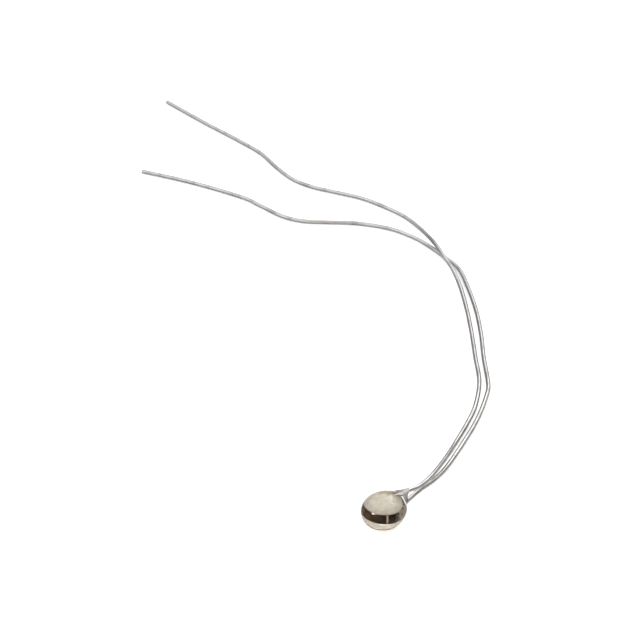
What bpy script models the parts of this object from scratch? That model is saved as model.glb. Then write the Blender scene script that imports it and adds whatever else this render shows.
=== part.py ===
"""Small disc NTC thermistor: a dark ceramic chip with two tinned wire leads in a clear resin bead.

The part lies on a table at z = 0, as it comes to rest when it is put down. Lengths are in metres.
"""
import math

import bmesh
import bpy
from mathutils import Matrix, Vector

MM = 0.001

# Ceramic chip and its two metal faces
CHIP_DIAMETER = 2.00 * MM
CHIP_THICKNESS = 0.48 * MM
CHIP_EDGE_ROUND = 0.03 * MM
ELECTRODE_THICKNESS = 0.02 * MM
ELECTRODE_MARGIN = 0.065 * MM
ELECTRODE_SHIFT = (-0.029 * MM, 0.034 * MM)

# Wire leads and the solder that holds their ends on the chip
LEAD_DIAMETER = 0.25 * MM
LEAD_START = 0.45 * MM
LEAD_OFFSET = -0.12 * MM
LEAD_RIM_GAP = 0.10 * MM
SOLDER_FILM = 0.03 * MM
SOLDER_COVER = 0.05 * MM
SOLDER_WALL = 0.16 * MM
SOLDER_LENGTH = 0.60 * MM
SOLDER_TAIL = 0.22 * MM

# Clear resin bead, with the neck that the resin draws out along the leads
COAT_SIDE = 0.11 * MM
COAT_BEHIND = 0.18 * MM
COAT_AHEAD = 0.47 * MM
COAT_AHEAD_BELOW = 0.15 * MM
COAT_TOP = 0.22 * MM
COAT_BOTTOM = 0.35 * MM
COAT_WAIST = -0.08 * MM
COAT_SQUARENESS_ABOVE = 2.05
COAT_SQUARENESS_BELOW = 2.33
COAT_BLEND = 0.5
NECK_START = 0.30 * MM
NECK_LENGTH = 0.83 * MM
NECK_OFFSET = -0.05 * MM
NECK_FILM = 0.07 * MM
NECK_FLARE = 0.05 * MM
NECK_FILL = 0.24 * MM
NECK_HOLLOW = 0.16 * MM
NECK_BEND = 0.15 * MM
LEAD_PINCH = 0.12 * MM

# Shape of the neck's cage: the heights of its rows as shares of the leads' height, how much wider
# and taller than the resin it is, how round its top and bottom are, and the fade of its hollow
NECK_ROW_LOW = 0.45
NECK_ROW_HIGH = 0.95
NECK_SWELL_SIDE = 1.4
NECK_SWELL_UP = 1.2
NECK_ROUNDING = 0.65
NECK_FILL_FADE = 0.25
HOLLOW_ROWS = 2

# Clearance between solids that touch on the real part, and under a lead where it crosses the other
FIT_GAP = 0.01 * MM
CROSS_GAP = 0.05 * MM

# Where the leads' routes start from and the length of their unit, how far north of it the bead lies,
# which way its leads leave it, and how far they lean down to the table
ROUTE_ORIGIN = (4.30 * MM, -22.80 * MM)
ROUTE_UNIT = 1.0 * MM
HEAD_STEP = 0.07 * MM
HEAD_TURN = math.radians(50.0)
HEAD_TILT = math.radians(7.0)

# Facets
ROUND_SIDES = 48
SOLDER_SIDES = 24
CAGE_CUTS = 6
COAT_LEVELS = 1
LEAD_STEP = 2.4
LEAD_BEVEL_RESOLUTION = 3
BURIED_REACH = 1.4
RIM_SEGMENTS = 2
RIM_ANGLE = math.radians(60.0)
SHARP_ANGLE = math.radians(40.0)

# Heights and radii that follow from the sizes above, measured from the chip's centre
LEAD_RADIUS = LEAD_DIAMETER / 2
CHIP_RADIUS = CHIP_DIAMETER / 2
ELECTRODE_RADIUS = CHIP_RADIUS - ELECTRODE_MARGIN
ELECTRODE_BASE = CHIP_THICKNESS / 2 + FIT_GAP
ELECTRODE_FACE = ELECTRODE_BASE + ELECTRODE_THICKNESS
SOLDER_BASE = ELECTRODE_FACE + FIT_GAP
LEAD_AXIS = SOLDER_BASE + SOLDER_FILM + FIT_GAP + LEAD_RADIUS
SOLDER_PEAK = LEAD_AXIS + LEAD_RADIUS + FIT_GAP + SOLDER_COVER
COAT_CEILING = SOLDER_PEAK + COAT_TOP
COAT_FLOOR = -SOLDER_PEAK - COAT_BOTTOM
NECK_END = CHIP_RADIUS + NECK_START + NECK_LENGTH
NECK_LEAD_AXIS = LEAD_AXIS - LEAD_PINCH
HEAD_PLACE = (ROUTE_ORIGIN[0], ROUTE_ORIGIN[1] + HEAD_STEP)

# Routes over the table, as units east and north of their origin under the bead. The third number is
# the share of the height at the neck that the lead still keeps. The fourth is the share of the
# height that carries the upper lead over the lower one.
TOP_LEAD_ROUTE = [
    (2.00, 2.09, 0.94, 0.0),
    (2.76, 3.39, 0.76, 0.0),
    (3.62, 5.55, 0.38, 0.0),
    (4.11, 6.99, 0.14, 0.0),
    (4.80, 8.86, 0.0, 0.0),
    (5.37, 10.61, 0.0, 0.0),
    (5.73, 12.97, 0.0, 0.0),
    (5.65, 15.39, 0.0, 0.0),
    (5.57, 17.89, 0.0, 0.0),
    (5.42, 20.47, 0.0, 0.0),
    (5.14, 23.05, 0.0, 0.17),
    (4.73, 24.84, 0.0, 0.75),
    (4.27, 26.10, 0.0, 1.0),
    (3.89, 27.37, 0.0, 0.95),
    (3.45, 28.63, 0.0, 0.60),
    (2.53, 30.65, 0.0, 0.04),
    (1.56, 31.88, 0.0, 0.0),
    (-0.44, 33.54, 0.0, 0.0),
    (-2.47, 34.50, 0.0, 0.0),
    (-3.80, 35.12, 0.0, 0.0),
    (-5.05, 36.12, 0.0, 0.0),
    (-6.11, 37.67, 0.0, 0.0),
    (-7.19, 39.57, 0.0, 0.0),
    (-8.82, 41.44, 0.0, 0.0),
    (-11.04, 43.78, 0.0, 0.0),
    (-13.69, 46.74, 0.0, 0.0),
]
BOTTOM_LEAD_ROUTE = [
    (1.98, 2.50, 0.92, 0.0),
    (2.82, 3.60, 0.56, 0.0),
    (3.57, 4.96, 0.15, 0.0),
    (4.57, 7.20, 0.0, 0.0),
    (5.46, 9.46, 0.0, 0.0),
    (6.10, 11.78, 0.0, 0.0),
    (6.23, 12.97, 0.0, 0.0),
    (6.13, 15.39, 0.0, 0.0),
    (6.11, 17.89, 0.0, 0.0),
    (5.96, 20.47, 0.0, 0.0),
    (5.59, 23.14, 0.0, 0.0),
    (5.14, 25.19, 0.0, 0.0),
    (4.35, 26.47, 0.0, 0.0),
    (3.42, 27.82, 0.0, 0.0),
    (2.47, 28.88, 0.0, 0.0),
    (1.00, 29.91, 0.0, 0.0),
    (-0.99, 30.52, 0.0, 0.0),
    (-2.99, 30.67, 0.0, 0.0),
    (-4.35, 30.80, 0.0, 0.0),
    (-5.60, 31.37, 0.0, 0.0),
    (-7.04, 32.70, 0.0, 0.0),
    (-8.08, 33.67, 0.0, 0.0),
    (-10.17, 34.94, 0.0, 0.0),
    (-12.28, 36.03, 0.0, 0.0),
    (-14.80, 37.12, 0.0, 0.0),
]


def clear_scene():
    """Remove whatever the open file holds."""
    for thing in list(bpy.data.objects):
        bpy.data.objects.remove(thing, do_unlink=True)


def make_collection(name):
    """Return a new collection linked to the scene."""
    collection = bpy.data.collections.new(name)
    bpy.context.scene.collection.children.link(collection)
    return collection


def make_material(name, colour, roughness, metallic, alpha=1.0):
    """Return a Principled material for one sub-part."""
    material = bpy.data.materials.new(name)
    material.use_nodes = True
    shader = material.node_tree.nodes["Principled BSDF"]
    shader.inputs["Base Color"].default_value = (*colour, 1.0)
    shader.inputs["Roughness"].default_value = roughness
    shader.inputs["Metallic"].default_value = metallic
    shader.inputs["Alpha"].default_value = alpha
    return material


def add_object(name, mesh, collection, head=None):
    """Link a mesh as an object, carried by the head's empty where one is given."""
    thing = bpy.data.objects.new(name, mesh)
    collection.objects.link(thing)
    thing.parent = head
    return thing


def hide_cutter(thing):
    """Show a cutter as wire only, and keep it out of the build."""
    thing.display_type = "WIRE"
    thing.hide_render = True


def smooth(mesh):
    """Shade a round piece smooth, with its true edges kept sharp."""
    mesh.shade_smooth()
    mesh.set_sharp_from_angle(angle=SHARP_ANGLE)


def disc_mesh(name, radius, low, high, shift=(0.0, 0.0)):
    """Return an upright closed cylinder between two heights, its axis moved sideways by a shift."""
    bm = bmesh.new()
    bmesh.ops.create_cone(
        bm,
        cap_ends=True,
        segments=ROUND_SIDES,
        radius1=radius,
        radius2=radius,
        depth=high - low,
        matrix=Matrix.Translation((*shift, (low + high) / 2)),
    )
    mesh = bpy.data.meshes.new(name)
    bm.to_mesh(mesh)
    bm.free()
    smooth(mesh)
    return mesh


def add_bevel(thing, width):
    """Round the rims of a disc."""
    bevel = thing.modifiers.new("rim", "BEVEL")
    bevel.width = width
    bevel.segments = RIM_SEGMENTS
    bevel.limit_method = "ANGLE"
    bevel.angle_limit = RIM_ANGLE


def add_cut(thing, cutter):
    """Subtract a cutter from a piece."""
    cut = thing.modifiers.new(cutter.name, "BOOLEAN")
    cut.operation = "DIFFERENCE"
    cut.solver = "EXACT"
    cut.object = cutter


def solder_mesh(name, side, swell):
    """Return a half ellipsoid of solder on the top (side 1) or bottom (side -1) electrode."""
    bm = bmesh.new()
    bmesh.ops.create_uvsphere(bm, u_segments=SOLDER_SIDES, v_segments=SOLDER_SIDES // 2, radius=1.0)
    size = (
        SOLDER_LENGTH / 2 + swell,
        LEAD_RADIUS + SOLDER_WALL + swell,
        SOLDER_PEAK - SOLDER_BASE + swell,
    )
    bmesh.ops.scale(bm, vec=size, verts=bm.verts)
    base = bmesh.ops.bisect_plane(
        bm,
        geom=bm.verts[:] + bm.edges[:] + bm.faces[:],
        plane_co=(0.0, 0.0, -side * swell),
        plane_no=(0.0, 0.0, -side),
        clear_outer=True,
    )
    rim = [part for part in base["geom_cut"] if isinstance(part, bmesh.types.BMEdge)]
    bmesh.ops.contextual_create(bm, geom=rim)
    middle = LEAD_START - SOLDER_TAIL + SOLDER_LENGTH / 2
    place = (middle, LEAD_OFFSET, side * SOLDER_BASE)
    bmesh.ops.translate(bm, vec=place, verts=bm.verts)
    bmesh.ops.recalc_face_normals(bm, faces=bm.faces)
    mesh = bpy.data.meshes.new(name)
    bm.to_mesh(mesh)
    bm.free()
    smooth(mesh)
    return mesh


def bead_point(direction):
    """Return the point of the bead's outline in a direction from its centre.

    Over the chip the resin is drawn out towards the leads. The draw fades out on the underside.
    """
    fall = min(1.0, max(0.0, -direction.normalized().z / COAT_BLEND))
    fall = fall * fall * (3.0 - 2.0 * fall)
    drawn = COAT_AHEAD + fall * (COAT_AHEAD_BELOW - COAT_AHEAD)
    reach = CHIP_RADIUS + (drawn if direction.x > 0.0 else COAT_BEHIND)
    across = math.hypot(direction.x / reach, direction.y / (CHIP_RADIUS + COAT_SIDE))
    above = direction.z > 0.0
    along = direction.z / ((COAT_CEILING if above else COAT_FLOOR) - COAT_WAIST)
    power = COAT_SQUARENESS_ABOVE if above else COAT_SQUARENESS_BELOW
    return direction / (across ** power + along ** power) ** (1.0 / power)


def cage_swell(step):
    """Return how much larger a round cage is than the subdivided surface inside it.

    The surface keeps four sixths of a cage vertex and takes one sixth of each of its neighbours.
    """
    return 6.0 / (4.0 + 2.0 * math.cos(step))


def neck_rings():
    """Return each ring of the neck: its distance out, its leads' height, its film, its hollow."""
    start = CHIP_RADIUS + NECK_START
    middle = (start + NECK_END) / 2
    middle_axis = (LEAD_AXIS + NECK_LEAD_AXIS) / 2
    return [
        (start, LEAD_AXIS, NECK_FILM + NECK_FLARE, -NECK_FILL),
        (middle, middle_axis, NECK_FILM, -NECK_FILL * NECK_FILL_FADE),
        (NECK_END, NECK_LEAD_AXIS, NECK_FILM, NECK_HOLLOW),
    ]


def place_neck_vertex(vertex, place, ring):
    """Move one cage vertex to its place on a ring of the neck.

    The place gives the vertex's column (-1 to 1) and row on the face of the cage. The rows run
    from the bottom one to the top one, with row 0 in the middle.
    """
    distance, axis, film, hollow = ring
    column, row = place
    rim = axis + LEAD_RADIUS + NECK_SWELL_UP * film
    rows = (0.0, NECK_ROW_LOW * axis, NECK_ROW_HIGH * axis, rim)
    rounding = NECK_ROUNDING if abs(row) == CAGE_CUTS // 2 else 1.0
    dip = hollow * max(0.0, 1.0 - abs(row) / HOLLOW_ROWS)
    vertex.co = Vector((
        distance - dip,
        NECK_OFFSET + column * rounding * (LEAD_RADIUS + NECK_SWELL_SIDE * film),
        math.copysign(rows[abs(row)], row) - COAT_WAIST,
    ))


def coat_cage():
    """Return the bead and neck as a coarse cage, centred on the bead."""
    bm = bmesh.new()
    bmesh.ops.create_cube(bm, size=2.0)
    bmesh.ops.subdivide_edges(bm, edges=bm.edges[:], cuts=CAGE_CUTS - 1, use_grid_fill=True)
    bm.verts.ensure_lookup_table()
    half = CAGE_CUTS // 2
    grid = {vertex: vertex.co.copy() * half for vertex in bm.verts}
    region = [
        face for face in bm.faces
        if all(grid[v].x > half - 0.1 and abs(grid[v].y) < 1.1 for v in face.verts)
    ]
    quarter = math.pi / 4
    swell = cage_swell(2 * quarter / CAGE_CUTS) ** 2
    for vertex, place in grid.items():
        spread = Vector([math.tan(quarter * value / half) for value in place])
        vertex.co = bead_point(spread) * swell
    for ring in neck_rings():
        places = {
            (round(vertex.co.y, 9), round(vertex.co.z, 9)): grid[vertex]
            for vertex in {v for face in region for v in face.verts}
        }
        grown = bmesh.ops.extrude_face_region(bm, geom=region)["geom"]
        bmesh.ops.delete(bm, geom=region, context="FACES")
        region = [part for part in grown if isinstance(part, bmesh.types.BMFace)]
        for vertex in [part for part in grown if isinstance(part, bmesh.types.BMVert)]:
            grid[vertex] = places[(round(vertex.co.y, 9), round(vertex.co.z, 9))]
            place_neck_vertex(vertex, (round(grid[vertex].y), round(grid[vertex].z)), ring)
    bmesh.ops.recalc_face_normals(bm, faces=bm.faces)
    bmesh.ops.translate(bm, vec=(0.0, 0.0, COAT_WAIST), verts=bm.verts)
    mesh = bpy.data.meshes.new("clear_coat")
    bm.to_mesh(mesh)
    bm.free()
    mesh.shade_smooth()
    return mesh


def lowest_point(thing, turn):
    """Return the lowest height of a piece once it is turned."""
    bpy.context.view_layer.update()
    shown = thing.evaluated_get(bpy.context.evaluated_depsgraph_get())
    return min((turn @ vertex.co).z for vertex in shown.data.vertices)


def route_through(points):
    """Return a smooth line through the points, with a step of a few wire diameters."""
    ends = [2 * points[0] - points[1]] + points + [2 * points[-1] - points[-2]]
    line = []
    for index in range(1, len(ends) - 2):
        before, start, finish, after = ends[index - 1:index + 3]
        count = max(1, round((finish - start).length / (LEAD_STEP * LEAD_DIAMETER)))
        for step in range(count):
            t = step / count
            line.append(
                0.5 * (2 * start + (finish - before) * t
                       + (2 * before - 5 * start + 4 * finish - after) * t ** 2
                       + (3 * start - before - 3 * finish + after) * t ** 3)
            )
    line.append(points[-1])
    return line


def lead_points(side, route, head_matrix):
    """Return the points a lead runs through, from the chip's face to its cut end.

    Args:
        side: 1 for the lead on the chip's top face, -1 for the one on its bottom face.
        route: The steps over the table.
        head_matrix: The place and lean of the bead.
    """
    inside = [
        head_matrix @ Vector((LEAD_START, LEAD_OFFSET, side * LEAD_AXIS)),
        head_matrix @ Vector((CHIP_RADIUS - LEAD_RIM_GAP, LEAD_OFFSET, side * LEAD_AXIS)),
        head_matrix @ Vector((NECK_END - NECK_BEND, NECK_OFFSET, side * NECK_LEAD_AXIS)),
    ]
    neck_rise = inside[-1].z - LEAD_RADIUS
    over_rise = LEAD_DIAMETER + CROSS_GAP
    outside = [
        Vector((
            ROUTE_ORIGIN[0] + east * ROUTE_UNIT,
            ROUTE_ORIGIN[1] + north * ROUTE_UNIT,
            LEAD_RADIUS + kept * neck_rise + over * over_rise,
        ))
        for east, north, kept, over in route
    ]
    return inside + outside


def wire_object(name, line, radius, collection):
    """Return a round wire along a line of points."""
    curve = bpy.data.curves.new(name, "CURVE")
    curve.dimensions = "3D"
    curve.bevel_depth = radius
    curve.bevel_resolution = LEAD_BEVEL_RESOLUTION
    curve.use_fill_caps = True
    spline = curve.splines.new("POLY")
    spline.points.add(len(line) - 1)
    for point, place in zip(spline.points, line):
        point.co = (*place, 1.0)
    return add_object(name, curve, collection)


def wire_cutter(name, line, collection):
    """Return the tunnel that a lead needs through solder and resin, as a mesh cutter."""
    start = line[0] + (line[0] - line[1]).normalized() * FIT_GAP
    tube = wire_object(name, [start] + line[1:], LEAD_RADIUS + FIT_GAP, collection)
    bpy.context.view_layer.update()
    shown = tube.evaluated_get(bpy.context.evaluated_depsgraph_get())
    mesh = bpy.data.meshes.new_from_object(shown)
    bm = bmesh.new()
    bm.from_mesh(mesh)
    bmesh.ops.remove_doubles(bm, verts=bm.verts, dist=0.0001 * MM)
    bmesh.ops.recalc_face_normals(bm, faces=bm.faces)
    bm.to_mesh(mesh)
    bm.free()
    cutter = add_object(name + "_cutter", mesh, collection)
    cutter.matrix_world = tube.matrix_world
    bpy.data.objects.remove(tube, do_unlink=True)
    hide_cutter(cutter)
    return cutter


def build_head(parts):
    """Make the resin bead and set it on the table. Return the bead and the head's empty."""
    head = bpy.data.objects.new("head", None)
    parts.objects.link(head)
    coat = add_object("clear_coat", coat_cage(), parts, head)
    subdivide = coat.modifiers.new("smooth", "SUBSURF")
    subdivide.levels = COAT_LEVELS
    subdivide.render_levels = COAT_LEVELS
    lean = Matrix.Rotation(HEAD_TURN, 4, "Z") @ Matrix.Rotation(HEAD_TILT, 4, "Y")
    head.matrix_world = Matrix.Translation((*HEAD_PLACE, -lowest_point(coat, lean))) @ lean
    bpy.context.view_layer.update()
    return coat, head


def build_chip(parts, cutters, head):
    """Make the ceramic chip and its electrodes. Return their pieces and the bead's cutters."""
    chip = add_object(
        "ntc_chip",
        disc_mesh("ntc_chip", CHIP_RADIUS, -CHIP_THICKNESS / 2, CHIP_THICKNESS / 2),
        parts,
        head,
    )
    add_bevel(chip, CHIP_EDGE_ROUND)
    pocket = disc_mesh(
        "chip_pocket",
        CHIP_RADIUS + FIT_GAP,
        -CHIP_THICKNESS / 2 - FIT_GAP / 2,
        CHIP_THICKNESS / 2 + FIT_GAP / 2,
    )
    seat = disc_mesh(
        "electrode_seat",
        ELECTRODE_RADIUS + FIT_GAP,
        -SOLDER_BASE - FIT_GAP / 2,
        SOLDER_BASE + FIT_GAP / 2,
        ELECTRODE_SHIFT,
    )
    holes = [add_object(mesh.name, mesh, cutters, head) for mesh in (pocket, seat)]
    electrodes = []
    for name, side in (("electrode_top", 1), ("electrode_bottom", -1)):
        low, high = sorted((side * ELECTRODE_BASE, side * ELECTRODE_FACE))
        mesh = disc_mesh(name, ELECTRODE_RADIUS, low, high, ELECTRODE_SHIFT)
        electrodes.append(add_object(name, mesh, parts, head))
    for hole in holes:
        hide_cutter(hole)
    return chip, electrodes, holes


def build_lead(name, side, route, parts, cutters, head):
    """Make one lead and its solder. Return the lead, the solder and the bead's two cutters."""
    points = lead_points(side, route, head.matrix_world)
    line = route_through(points)
    lead = wire_object(name, line, LEAD_RADIUS, parts)
    reach = NECK_END + LEAD_DIAMETER
    centre = head.matrix_world.translation
    buried = [place for place in line if (place - centre).length < BURIED_REACH * reach]
    tunnel = wire_cutter(name, buried, cutters)
    solder_name = "solder_" + name.split("_")[1]
    solder = add_object(solder_name, solder_mesh(solder_name, side, 0.0), parts, head)
    add_cut(solder, tunnel)
    socket = add_object(
        solder_name + "_socket",
        solder_mesh(solder_name + "_socket", side, FIT_GAP),
        cutters,
        head,
    )
    hide_cutter(socket)
    return lead, solder, [socket, tunnel]


def build_thermistor():
    """Build the whole part."""
    clear_scene()
    parts = make_collection("ntc_thermistor")
    cutters = make_collection("cutters")
    coat, head = build_head(parts)
    chip, electrodes, holes = build_chip(parts, cutters, head)
    top_lead, top_solder, top_holes = build_lead(
        "lead_top", 1, TOP_LEAD_ROUTE, parts, cutters, head)
    bottom_lead, bottom_solder, bottom_holes = build_lead(
        "lead_bottom", -1, BOTTOM_LEAD_ROUTE, parts, cutters, head)
    for hole in holes + top_holes + bottom_holes:
        add_cut(coat, hole)
    finishes = [
        (make_material("dark_ceramic", (0.018, 0.012, 0.009), 0.45, 0.0), [chip]),
        (make_material("fired_silver", (0.62, 0.56, 0.46), 0.5, 0.6), electrodes),
        (make_material("solder", (0.68, 0.66, 0.62), 0.35, 0.9), [top_solder, bottom_solder]),
        (make_material("tinned_wire", (0.72, 0.71, 0.69), 0.22, 1.0), [top_lead, bottom_lead]),
        (make_material("clear_resin", (0.95, 0.90, 0.76), 0.05, 0.0, 0.35), [coat]),
    ]
    for material, pieces in finishes:
        for piece in pieces:
            piece.data.materials.append(material)


build_thermistor()
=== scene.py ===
"""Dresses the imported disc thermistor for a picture.

Inside the clear bead: a dark ceramic chip, its two silvered faces, and the solder that holds a lead on
each. Out of the bead: two tinned wire leads that lie on the floor, cross once and part.
"""
import logging
import math
from dataclasses import dataclass
from enum import Enum

import bmesh
import bpy
from bmesh.types import BMesh, BMFace, BMVert
from bpy.types import ID, Material, Mesh, Node, NodeSocket, NodeTree, Object
from mathutils import Matrix, Vector, noise


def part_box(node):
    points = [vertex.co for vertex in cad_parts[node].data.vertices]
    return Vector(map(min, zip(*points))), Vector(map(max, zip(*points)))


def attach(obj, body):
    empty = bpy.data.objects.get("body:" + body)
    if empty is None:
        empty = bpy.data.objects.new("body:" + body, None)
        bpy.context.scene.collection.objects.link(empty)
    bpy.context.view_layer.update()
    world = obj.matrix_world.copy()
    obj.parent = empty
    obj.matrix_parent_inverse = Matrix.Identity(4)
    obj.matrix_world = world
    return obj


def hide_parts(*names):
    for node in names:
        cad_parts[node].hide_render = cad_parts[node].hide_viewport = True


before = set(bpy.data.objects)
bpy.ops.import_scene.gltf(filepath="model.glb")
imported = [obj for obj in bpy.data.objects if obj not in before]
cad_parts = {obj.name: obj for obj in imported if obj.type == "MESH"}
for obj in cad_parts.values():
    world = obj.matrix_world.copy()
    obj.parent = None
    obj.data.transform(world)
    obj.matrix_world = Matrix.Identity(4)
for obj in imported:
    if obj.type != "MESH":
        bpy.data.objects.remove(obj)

MM = 0.001
WELD = 1e-7
BODY = "root"
LOG = logging.getLogger("thermistor")

Pair = tuple[float, float]
Triple = tuple[float, float, float]
Colour = Triple


class Side(Enum):
    """The face of the chip that a piece belongs to."""

    TOP = 1
    BOTTOM = -1

    @property
    def word(self) -> str:
        """Return the side's name as the pieces' names hold it."""
        return self.name.lower()


# Routes of the leads over the floor, as in the part's source: mm east and north of their origin under
# the bead and, where they aren't 0, the share of the height at the neck that is kept, and of the hump
# at the crossing.
TOP_ROUTE = (
    (2.00, 2.09, 0.94), (2.76, 3.39, 0.76), (3.62, 5.55, 0.38), (4.11, 6.99, 0.14), (4.80, 8.86),
    (5.37, 10.61), (5.73, 12.97), (5.65, 15.39), (5.57, 17.89), (5.42, 20.47),
    (5.14, 23.05, 0.0, 0.17), (4.73, 24.84, 0.0, 0.75), (4.27, 26.10, 0.0, 1.0),
    (3.89, 27.37, 0.0, 0.95), (3.45, 28.63, 0.0, 0.60), (2.53, 30.65, 0.0, 0.04),
    (1.56, 31.88), (-0.44, 33.54), (-2.47, 34.50), (-3.80, 35.12), (-5.05, 36.12),
    (-6.11, 37.67), (-7.19, 39.57), (-8.82, 41.44), (-11.04, 43.78), (-13.69, 46.74),
)
BOTTOM_ROUTE = (
    (1.98, 2.50, 0.92), (2.82, 3.60, 0.56), (3.57, 4.96, 0.15), (4.57, 7.20), (5.46, 9.46),
    (6.10, 11.78), (6.23, 12.97), (6.13, 15.39), (6.11, 17.89), (5.96, 20.47),
    (5.59, 23.14), (5.14, 25.19), (4.35, 26.47), (3.42, 27.82), (2.47, 28.88),
    (1.00, 29.91), (-0.99, 30.52), (-2.99, 30.67), (-4.35, 30.80), (-5.60, 31.37),
    (-7.04, 32.70), (-8.08, 33.67), (-10.17, 34.94), (-12.28, 36.03), (-14.80, 37.12),
)


@dataclass(frozen=True)
class Sizes:
    """Sizes that the pieces share, in metres, measured from the chip's centre."""

    chip_radius: float = 1.00 * MM
    chip_half: float = 0.24 * MM
    face_base: float = 0.245 * MM
    face_top: float = 0.275 * MM
    solder_peak: float = 0.63 * MM
    lead_radius: float = 0.125 * MM
    lead_axis: float = 0.445 * MM
    lead_start: float = 0.45 * MM
    lead_offset: float = -0.12 * MM
    lead_rim_gap: float = 0.10 * MM
    neck_offset: float = -0.05 * MM
    neck_lead_axis: float = 0.325 * MM
    cross_rise: float = 0.30 * MM
    coat_side: float = 1.11 * MM
    coat_behind: float = 1.18 * MM
    coat_ahead: float = 1.47 * MM
    coat_ahead_below: float = 1.15 * MM
    coat_above: float = 0.93 * MM
    coat_below: float = 0.90 * MM
    coat_centre: float = -0.08 * MM
    neck_start: float = 1.30 * MM
    neck_end: float = 2.13 * MM


@dataclass(frozen=True)
class Head:
    """Place and lean of the chip, its bead and the inner ends of the leads."""

    centre: Vector
    turn: float = math.radians(50.0)
    lean: float = math.radians(7.0)
    step_north: float = 0.07 * MM

    def matrix(self) -> Matrix:
        """Return the move from the chip's own space to the floor's."""
        turned = Matrix.Rotation(self.turn, 4, "Z") @ Matrix.Rotation(self.lean, 4, "Y")
        return Matrix.Translation(self.centre) @ turned


@dataclass(frozen=True)
class Grain:
    """An uneven pattern: a noise of so many waves to the mm, spread from low and high to start and end."""

    scale: float
    detail: float = 3.0
    low: float = 0.3
    high: float = 0.7
    start: float = 0.0
    end: float = 1.0
    rough: float = 0.5
    shift: float = 0.0
    stretch: Triple | None = None


class NodeDesk:
    """Adds nodes to one tree and joins them."""

    def __init__(self, tree: NodeTree) -> None:
        """Start on a tree."""
        self.tree = tree

    def add(self, kind: str, inputs: dict | None = None, **settings: object) -> Node:
        """Add one node.

        Args:
            kind: The node's type.
            inputs: What each input gets, as for feed.
            settings: The node's own settings.

        Returns:
            The new node.
        """
        node = self.tree.nodes.new(kind)
        for name, value in settings.items():
            setattr(node, name, value)
        self.feed(node, inputs or {})
        return node

    def feed(self, node: Node, inputs: dict) -> None:
        """Feed a node's inputs.

        Args:
            node: The node.
            inputs: What each input gets, by its name or number: a value, or a socket to join.
        """
        for name, value in inputs.items():
            socket = node.inputs[name]
            if isinstance(value, NodeSocket):
                self.tree.links.new(value, socket)
            else:
                socket.default_value = (*value, 1.0) if socket.type == "RGBA" else value

    def wire_place(self) -> NodeSocket:
        """Return the wire's own coordinates in mm, round it and along it."""
        return self.add("ShaderNodeAttribute", attribute_name="wire_space").outputs["Vector"]

    def place(self, head: Head) -> NodeSocket:
        """Return coordinates in the chip's own space, in mm from its centre.

        Args:
            head: Place and lean of the chip.

        Returns:
            The socket that gives them.
        """
        source = self.add("ShaderNodeTexCoord").outputs["Object"]
        turn = head.matrix().to_euler("XYZ")
        settings = {"Vector": source, "Location": head.centre, "Rotation": turn, "Scale": (MM, MM, MM)}
        return self.add("ShaderNodeMapping", settings, vector_type="TEXTURE").outputs["Vector"]

    def math(self, kind: str, *values: object) -> NodeSocket:
        """Return the result of a sum on one to three numbers or sockets."""
        return self.add("ShaderNodeMath", dict(enumerate(values)), operation=kind).outputs[0]

    def vectors(self, kind: str, *values: object) -> NodeSocket:
        """Return the result of a sum on vectors: a number for a length or a dot product."""
        node = self.add("ShaderNodeVectorMath", dict(enumerate(values)), operation=kind)
        return node.outputs["Value" if kind in ("LENGTH", "DOT_PRODUCT") else "Vector"]

    def part(self, vector: NodeSocket, axis: str) -> NodeSocket:
        """Return a vector's reach along one axis."""
        return self.add("ShaderNodeSeparateXYZ", {"Vector": vector}).outputs[axis]

    def noise(self, vector: NodeSocket, grain: Grain) -> NodeSocket:
        """Return a grain's bare noise.

        Args:
            vector: Coordinates in mm.
            grain: The pattern.

        Returns:
            The socket that gives it, from 0 to 1.
        """
        if grain.stretch:
            vector = self.add("ShaderNodeMapping", {"Vector": vector, "Scale": grain.stretch}).outputs[0]
        inputs = {"Vector": vector, "Scale": grain.scale, "Detail": grain.detail,
                  "Roughness": grain.rough, "Distortion": grain.shift}
        return self.add("ShaderNodeTexNoise", inputs).outputs[0]

    def spots(self, vector: NodeSocket, grain: Grain) -> NodeSocket:
        """Return a grain's noise, spread over its range."""
        return self.span(self.noise(vector, grain), grain.low, grain.high, grain.start, grain.end)

    def span(self, value: NodeSocket, low: float, high: float, start: float = 0.0,
             end: float = 1.0) -> NodeSocket:
        """Return a value spread smoothly from low and high to start and end, and held beyond them."""
        inputs = {"Value": value, "From Min": low, "From Max": high, "To Min": start, "To Max": end}
        return self.add("ShaderNodeMapRange", inputs, interpolation_type="SMOOTHSTEP").outputs["Result"]

    def blend(self, share: NodeSocket, first: object, second: object) -> NodeSocket:
        """Return a colour between two colours or sockets, at a share of the second."""
        return self.add("ShaderNodeMix", {0: share, 6: first, 7: second}, data_type="RGBA").outputs[2]

    def bump(self, height: NodeSocket, depth: float, under: NodeSocket | None = None) -> NodeSocket:
        """Return a normal that is raised by a height.

        Args:
            height: A socket from 0 to 1.
            depth: What 1 stands for, in mm.
            under: A normal to add to.

        Returns:
            The socket that gives it.
        """
        inputs = {"Height": height, "Distance": depth * MM, "Strength": 1.0}
        if under is not None:
            inputs["Normal"] = under
        return self.add("ShaderNodeBump", inputs).outputs["Normal"]


class MaterialDesk(NodeDesk):
    """Makes one material."""

    def __init__(self, name: str) -> None:
        """Start a material.

        Args:
            name: The finish in plain words.
        """
        self.material = bpy.data.materials.new(name)
        self.material.use_nodes = True
        super().__init__(self.material.node_tree)

    def dress(self, looks: dict[str, object]) -> Material:
        """Feed the Principled shader with its looks, by input, and return the material."""
        self.feed(self.tree.nodes["Principled BSDF"], looks)
        return self.material


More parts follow.
